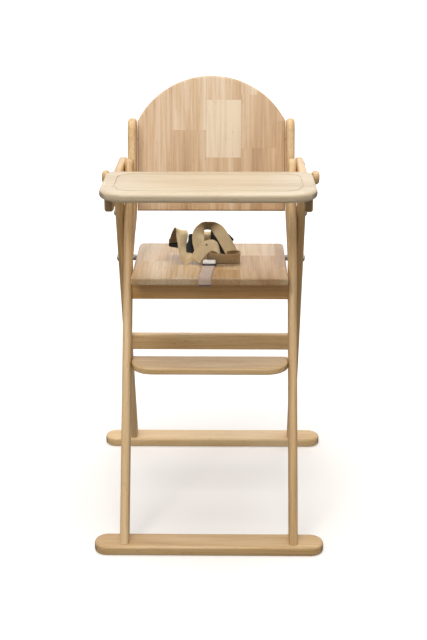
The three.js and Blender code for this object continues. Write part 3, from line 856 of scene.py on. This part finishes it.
def crotch_strap(material, thread):
    """Lies on the seat, turns over its front edge and is held underneath."""
    front = low("seat_panel").y / MM
    nose = (front - low("crotch_strap").y / MM) / 2
    under = (low("seat_panel").z - SEAT_TOP) / MM
    path = [(6, 1.7), (-30, 1.5), (-60, 1.5), (front + 7, 1.6), (front + 2, 1.2), (front - nose, -3),
            (front - nose, -8), (front - nose, under + 3), (front + 2, under - 1.2), (front + 7, under - 1.6),
            (-72, under - 1.6)]
    lean = 0.075
    points = [(middle("crotch_strap").x / MM + CROTCH_SHIFT + lean * min(y, 0), y, z) for y, z in path]
    frames = ribbon("crotch_strap_webbing", points, [X] * len(points), material,
                    ["crotch_strap"], width=26, cup=0.0, per=6)
    stitches("crotch_strap_stitching", frames, 22, 40, (-8, 8), thread, proud=-0.85)


def shoulder_straps(material, thread):
    """The loose straps, heaped on the seat: a folded one on the left, an arch, one that crosses its left
    leg, and one behind."""
    left = [(-42, -6, 4), (-47, -3, 12), (-54, 3, 23), (-59, 9, 35), (-60, 15, 48), (-60, 21, 61),
            (-64, 28, 67), (-69, 36, 59), (-73, 45, 48), (-76, 52, 38), (-78, 57, 31)]
    left_widths = [(0.6, 0.2, 0.75), (0.7, 0.2, 0.6), (0.75, 0.55, 0.1), (0.55, 0.8, 0.1), (0.8, 0.5, -0.2),
                   (0.9, 0.0, -0.42), (0.9, 0.15, -0.4), (0.85, 0.35, -0.3), (0.85, 0.4, -0.2),
                   (0.9, 0.4, -0.1), (0.9, 0.4, 0.0)]
    frames = ribbon("harness_left_strap", left, left_widths, material,
                    ["webbing_left_loop"])
    stitches("harness_left_stitching", frames, 96, 116, (-9, -4.5, 4.5, 9), thread)

    arch = [(-21, -8, 5), (-20, -4, 15), (-21, 2, 30), (-25, 9, 46), (-25, 17, 61), (-17, 26, 73),
            (-5, 31, 75), (8, 31, 72), (20, 25, 62), (30, 19, 47), (40, 14, 30), (48, 11, 15), (52, 18, 6),
            (48, 34, 3)]
    arch_widths = [(0.85, 0.2, 0.35), (0.9, 0.15, 0.3), (0.95, 0.1, 0.2), (0.95, 0.1, 0.1),
                   (0.85, 0.35, -0.2), (0.4, 0.6, -0.7), (0.05, 0.6, -0.8), (-0.3, 0.35, -0.85),
                   (-0.72, -0.1, -0.6), (-0.8, -0.15, -0.5), (-0.8, -0.15, -0.5), (-0.8, -0.2, -0.5),
                   (-0.8, -0.5, -0.2), (-0.8, -0.6, 0.0)]
    frames = ribbon("harness_arch_strap", arch, arch_widths, material,
                    ["webbing_arch", "webbing_right_loop"])
    stitches("harness_arch_stitching", frames, 150, 172, (-9, -4.5, 4.5, 9), thread)

    crossing = [(-31, -8, 11), (-23, -6, 23), (-12, -2, 34), (1, 3, 39), (11, 7, 35), (18, 10, 24),
                (22, 12, 12)]
    ribbon("harness_crossing_strap", crossing, [(-0.3, 0.4, 0.87)] * len(crossing), material)

    behind = [(-18, 46, 12), (-14, 44, 28), (-8, 42, 44), (-4, 46, 54), (0, 60, 55), (4, 76, 42), (6, 92, 34),
              (4, 102, 18), (2, 104, 3)]
    ribbon("harness_rear_strap", behind, [(1, 0.1, 0.1)] * len(behind), material,
           ["webbing_back_loop"])


def front_band(material):
    """A length that stands on its edge before the heap, bent back on itself at both ends."""
    line = [(12, 11, 14), (4, 12, 14.2), (-3, 9, 14.8), (-6, 3, 15.2), (-2, -3, 15.2), (6, -7, 14.6),
            (17, -10, 14), (32, -12.5, 13.6), (46, -12, 13.6), (57, -8, 13.8), (62, 0, 14.2), (60, 9, 14.6),
            (52, 13, 14.8), (42, 11, 14.6), (34, 6, 14.4)]
    ribbon("harness_front_band", line, [(0.05, -0.3, 1)] * len(line), material,
           ["webbing_front_loop"], cup=0.3)


def black_strap(material):
    """The narrow dark length that runs down from inside the arch."""
    line = [(9, 44, 62), (8, 38, 54), (8, 32, 44), (12, 26, 36), (19, 18, 26), (26, 11, 14), (30, 7, 6)]
    ribbon("harness_black_strap", line, [(0.85, 0.2, 0.35)] * len(line), material,
           width=15, thickness=1.8, cup=0.2)


# ---------------- buckle, sliders and adjuster

def turn_of(tip, lean, turn):
    """Tipped about X, leaned about Y, then turned about the vertical. Degrees."""
    return (Matrix.Rotation(math.radians(turn), 3, "Z") @ Matrix.Rotation(math.radians(lean), 3, "Y")
            @ Matrix.Rotation(math.radians(tip), 3, "X"))


def slotted_plate(name, node, outline, thickness, slots, centre, turn, material, round_by):
    """A moulded plate with rounded edges. Its slots are given as low corner, high corner and depth, and
    those with no depth go right through."""
    def place(x, y, depth):
        return centre + turn @ Vector((x, y, depth - thickness * MM / 2))

    shape = board(scaled(outline), thickness * MM, round_by * MM, place)
    piece = add_piece(name, shape, material, "seat", [node] if node else [])
    tools = []
    for low_corner, high_corner, depth in slots:
        ring = scaled(rounded_rectangle(low_corner, high_corner, [0.8] * 4, 3))
        reach = thickness / 2 + 2
        bottom = -reach if depth is None else thickness / 2 - depth
        rings = [[centre + turn @ Vector((x, y, z * MM)) for x, y in ring] for z in (bottom, reach)]
        tools.append(solid("cutter", loft(rings)))
    if tools:
        cut_and_finish(piece, tools, material)


def buckle(material):
    """The two halves of a side-release buckle: a body with a sunk window and a slot for its strap, and a
    pair of sprung prongs."""
    centre, turn = on_seat(-38, 18, 38), turn_of(66, 16, 10)
    body = [(-9, -20), (9, -20), (10.8, -17), (11.6, -4), (10, 7), (11, 15), (9, 20), (-9, 20), (-11, 15),
            (-10, 7), (-11.6, -4), (-10.8, -17)]
    outline = [tuple(point) for point in smooth_through([*body, body[0]], 4)[:-1]]
    window, strap_slot = ((-3.4, -12), (3.4, 3), 3), ((-6, 14.2), (6, 16.4), None)
    slotted_plate("buckle_socket_moulded", "buckle_socket", outline, 11, [window, strap_slot], centre, turn,
                  material, 1.4)
    centre, turn = on_seat(9, 42, 24), turn_of(60, 0, -28)
    right = [(9, -19), (9.6, -10), (9.2, -5), (8.2, -2), (9.6, 6), (9.2, 13), (6.4, 18), (4.8, 17), (5.6, 6),
             (4.6, 0), (1.8, -1), (1.4, 12)]
    left = [(-across, up) for across, up in reversed(right)]
    prongs = [left[-1], *right, *left[:-1]]
    strap_slots = [((-7, -16.5), (7, -13.8), None), ((-7, -10), (7, -7.4), None)]
    slotted_plate("buckle_prongs_moulded", "buckle_prongs", prongs, 5, strap_slots, centre, turn, material,
                  0.5)


def sliders(material):
    """Three-bar sliders, each with two slots."""
    deep = 9.5
    for node, wide, centre, turn in (
            ("strap_slider_left", 11.5, on_seat(-79, 58, 29), turn_of(52, 14, 20)),
            ("strap_slider_right", 10.5, on_seat(37, 72, 34), turn_of(70, 38, -30))):
        outline = rounded_rectangle((-wide, -deep), (wide, deep), [3.2] * 4, 6)
        slots = [((-wide + 3, -5.6), (wide - 3, -4), None), ((-wide + 3, 4), (wide - 3, 5.6), None)]
        slotted_plate(f"{node}_moulded", node, outline, 5, slots, centre, turn, material,
                      1.1)


def adjuster(steel, plastic):
    """The plated slide over the crotch strap, tipped up to face the front, over a flat black plate that is
    painted shadow.
    """
    across = middle("adjuster_bar").x / MM + CROTCH_SHIFT
    slide = rounded_rectangle((-13.5, -4.6), (13.5, 4.6), [1.6] * 4, 5)
    slotted_plate("adjuster_bar_plated", "adjuster_bar", slide, 2.2, [], on_seat(across, -15, 8.2),
                  turn_of(76, 0, 0), steel, 0.9)
    # painted shadow: a black plate under the slide stands in for the shadow beneath it
    painted_shadow_plate = rounded_rectangle((-15, -5), (15, 5), [2.4] * 4, 6)
    slotted_plate("adjuster_painted_shadow_plate", None, painted_shadow_plate, 2.4, [], on_seat(across, -18, 4), turn_of(6, 0, 0),
                  plastic, 0.8)


def eyelet(material):
    """A small dark-rimmed hole in the crossing strap, as a rolled ring."""
    start, along = on_seat(-8, 0.9, 41), Vector((-0.1, -1, 0.42)).normalized()
    ring = [(0.9 * MM * math.sin(a), 1.7 * MM + 0.8 * MM * math.cos(a))
            for a in (math.radians(30 * step) for step in range(12))]
    add_piece("crossing_strap_eyelet", turned_ring(ring, start, along, 24), material, "seat",
              (), 60)


# ---------------- studio

def studio():
    world = bpy.data.worlds.new("studio")
    bpy.context.scene.world = world
    world.use_nodes = True
    world.node_tree.nodes["Background"].inputs["Color"].default_value = (1, 0.965, 0.91, 1)
    world.node_tree.nodes["Background"].inputs["Strength"].default_value = 0.31
    bpy.context.scene.view_settings.view_transform = "Standard"

    floor = stage_piece("floor", [(-30, -30, 0), (30, -30, 0), (30, 30, 0), (-30, 30, 0)], [(0, 1, 2, 3)])
    shader = Shader("studio_floor", roughness=0.9, specular_ior_level=0.1, emission_strength=1.0)
    place = shader.position()
    distance = shader.node("ShaderNodeVectorMath", {"operation": "LENGTH"}, {0: place}, output="Value")
    # painted light: the floor glows, faintly beside the chair and up to white far from it, which leaves a
    # dimmer pool around the chair
    painted_glow_by_distance = distance.step(0.1, 0.7) * 0.3 + distance.step(0.8, 3.0) * 0.46
    speck = shader.noise(place, 90.0, 2, 0.5)
    shader.feed(base_color=shader.mix(speck * 0.3, (0.80, 0.785, 0.775), (0.77, 0.757, 0.75)),
                emission_color=shader.mix(painted_glow_by_distance, (0.26, 0.25, 0.24), (1.1, 1.1, 1.1)))
    floor.data.materials.append(shader.material)

    radius, sides = 24, 48
    rim = arc((0, 0), radius, 0, 360, sides)[:-1]
    corners = [(x, y, z) for z in (-0.5, 26) for x, y in rim]
    walls = [(i, (i + 1) % sides, sides + (i + 1) % sides, sides + i) for i in range(sides)]
    backdrop = stage_piece("backdrop", corners, [*walls, tuple(range(sides, 2 * sides))])
    white = Shader("studio_backdrop", roughness=1.0, emission_strength=1.0)
    white.surface.inputs["Emission Color"].default_value = (1.05, 1.05, 1.05, 1)
    backdrop.data.materials.append(white.material)
    for piece in (floor, backdrop):
        piece.visible_diffuse = False
    floor.visible_glossy = False
    backdrop.visible_shadow = False

    area_light("overhead_panel", (0.0, 0.35, 3.2), (0, 0, 0.4), (2.4, 2.4), 52, (1, 0.985, 0.96))
    area_light("high_front_panel", (-0.5, -2.4, 2.9), (0, 0, 0.55), (2.2, 2.2), 72, (1, 0.98, 0.95))


def stage_piece(name, vertices, faces):
    piece = new_object(name, (vertices, faces))
    return piece


# ---------------- the chair

BACK_LOW = BACK_FOOT.dot(BACK_UP)
BACK_STAVES = {"span": (BACK_LOW, BACK_LOW + BACK_RISE.length), "strips": [
    (-0.1627, [(0.0, 0.74)]),
    (-0.0880, [(0.0, 0.38), (0.595, 0.72)]),
    (-0.0115, [(0.0, 0.46), (0.393, 0.86), (0.82, 0.62)]),
    (0.0650, [(0.0, 0.34), (0.461, 0.42), (0.858, 0.7)]),
    (0.1420, [(0.0, 0.12), (0.663, 0.3)])]}

SEAT_STAVES = {"span": (low("seat_panel").y, high("seat_panel").y), "strips": [
    (-0.1605, [(0.0, 0.8), (0.45, 0.68)]),
    (-0.0880, [(0.0, 0.66), (0.7, 0.5)]),
    (-0.0130, [(0.0, 0.28), (0.22, 0.5)]),
    (0.0620, [(0.0, 0.36), (0.62, 0.54)]),
    (0.1400, [(0.0, 0.55), (0.3, 0.4)])]}

SCREWS = {"front_frame": ("seat_rail_screw", "footrest_screw", "back_screw_lower", "back_screw_upper",
                          "front_foot_screw"),
          "rear_frame": ("cross_rail_screw", "rear_foot_screw"),
          "tray": ("tray_screw_front", "tray_screw_back")}


def build_frame():
    steel = plated_steel("zinc_plated_steel", (0.42, 0.41, 0.39), (0.27, 0.25, 0.22), 0.34)
    nylon = moulded_plastic("nylon_washer", (0.62, 0.59, 0.50), (0.50, 0.46, 0.37))
    front_along = (LEG_CROSSING - FRONT_FOOT).normalized()
    rear_along = (LEG_CROSSING - REAR_FOOT).normalized()
    across_chair = wood("crosswise_rubberwood", X, Y, seed=1.3)
    # the rear foot bar takes the brighter tones, which are painted light
    for end, tones, seed in (("front", RUBBERWOOD, 2.1), ("rear", PAINTED_LIGHT_RUBBERWOOD, 5.8)):
        foot_bar(f"{end}_foot_bar", wood(f"{end}_foot_bar_wood", X, Y, tones, seed), f"{end}_frame")
    # the seat rail's darker tones are painted shade
    rail("seat_rail", wood("rail_rubberwood_painted_shade", X, Z, PAINTED_SHADE_RUBBERWOOD, 8.1), "front_frame", 3 * MM)
    # the rear cross rail's brighter tones are painted light
    rail("rear_cross_rail", wood("cross_rail_wood_painted_light", X, Z, PAINTED_LIGHT_RUBBERWOOD, 5.9), "rear_frame", 4 * MM)
    flat_board("footrest", [46 * MM, 46 * MM, 6 * MM, 6 * MM], 20, BOARD_ROUNDOVER,
               wood("footrest_wood", X, Y, seed=6.4), "front_frame")
    for side, sign in SIDES:
        seed = 10 + 5 * sign
        leg(f"front_leg_{side}", FRONT_FOOT, [f"seat_rail_screw_{side}", f"footrest_screw_{side}"],
            wood(f"front_leg_{side}_wood", front_along, X, seed=seed), "front_frame")
        leg(f"rear_leg_{side}", REAR_FOOT, [f"cross_rail_screw_{side}"],
            wood(f"rear_leg_{side}_wood", rear_along, X, seed=seed + 1.7), "rear_frame")
        back_post(side, wood(f"back_post_{side}_wood", POST_GRAIN, X, seed=seed + 2.9))
        tray_arm(side, wood(f"tray_arm_{side}_wood", Y, X, seed=seed + 3.3))
        peg(f"arm_peg_{side}", across_chair, "front_frame")
        domed_bolt(f"leg_pivot_bolt_{side}", steel, "front_frame")
        domed_bolt(f"arm_pivot_bolt_{side}", steel, "front_frame")
        domed_bolt(f"seat_pivot_bolt_{side}", steel, "rear_frame")
        for kind in ("leg_pivot_washer", "arm_pivot_washer"):
            collar(f"{kind}_{side}", 10 * MM, nylon, "front_frame", 0.15 * MM)
        collar(f"seat_pivot_spacer_{side}", 6.5 * MM, steel, "rear_frame", 0.4 * MM)
        for body, kinds in SCREWS.items():
            for kind in kinds:
                screw(f"{kind}_{side}", steel, body)
    backrest(wood("backrest_wood", BACK_UP, X, PANEL_RUBBERWOOD, 4.2, BACK_STAVES))
    flat_board("seat_panel", [6 * MM, 6 * MM, 12 * MM, 12 * MM], 12, BOARD_ROUNDOVER,
               wood("seat_wood", Y, X, SEAT_RUBBERWOOD, 7.7, SEAT_STAVES, ends=0.3), "seat")
    tray(wood("tray_wood", X, Y, PALE_RUBBERWOOD, 3.1, sides=0.26))


def build_harness():
    khaki = webbing("khaki_webbing", (0.97, 0.79, 0.49), (0.76, 0.56, 0.30))
    # painted shade: a darker copy of the khaki webbing, for the front band that stands in shade under the
    # tray
    shaded_khaki = webbing("khaki_webbing_painted_shade", (0.70, 0.52, 0.30), (0.42, 0.28, 0.13))
    blush = webbing("blush_webbing", (0.66, 0.51, 0.42), (0.47, 0.35, 0.27), 0.0009)
    black_web = webbing("black_webbing", (0.022, 0.018, 0.017), (0.008, 0.007, 0.007))
    thread = moulded_plastic("sewing_thread", (0.50, 0.36, 0.19), (0.38, 0.26, 0.13))
    pale_thread = moulded_plastic("pale_thread", (0.70, 0.60, 0.54), (0.58, 0.48, 0.42))
    plastic = moulded_plastic("black_moulded_plastic", (0.012, 0.013, 0.014), (0.05, 0.055, 0.055))
    bright = plated_steel("bright_plated_steel", (0.62, 0.58, 0.54), (0.44, 0.41, 0.37), 0.4)
    crotch_strap(blush, pale_thread)
    shoulder_straps(khaki, thread)
    front_band(shaded_khaki)
    black_strap(black_web)
    buckle(plastic)
    sliders(plastic)
    adjuster(bright, plastic)
    eyelet(plastic)


make_camera()
studio()
build_frame()
build_harness()

bpy.context.view_layer.update()
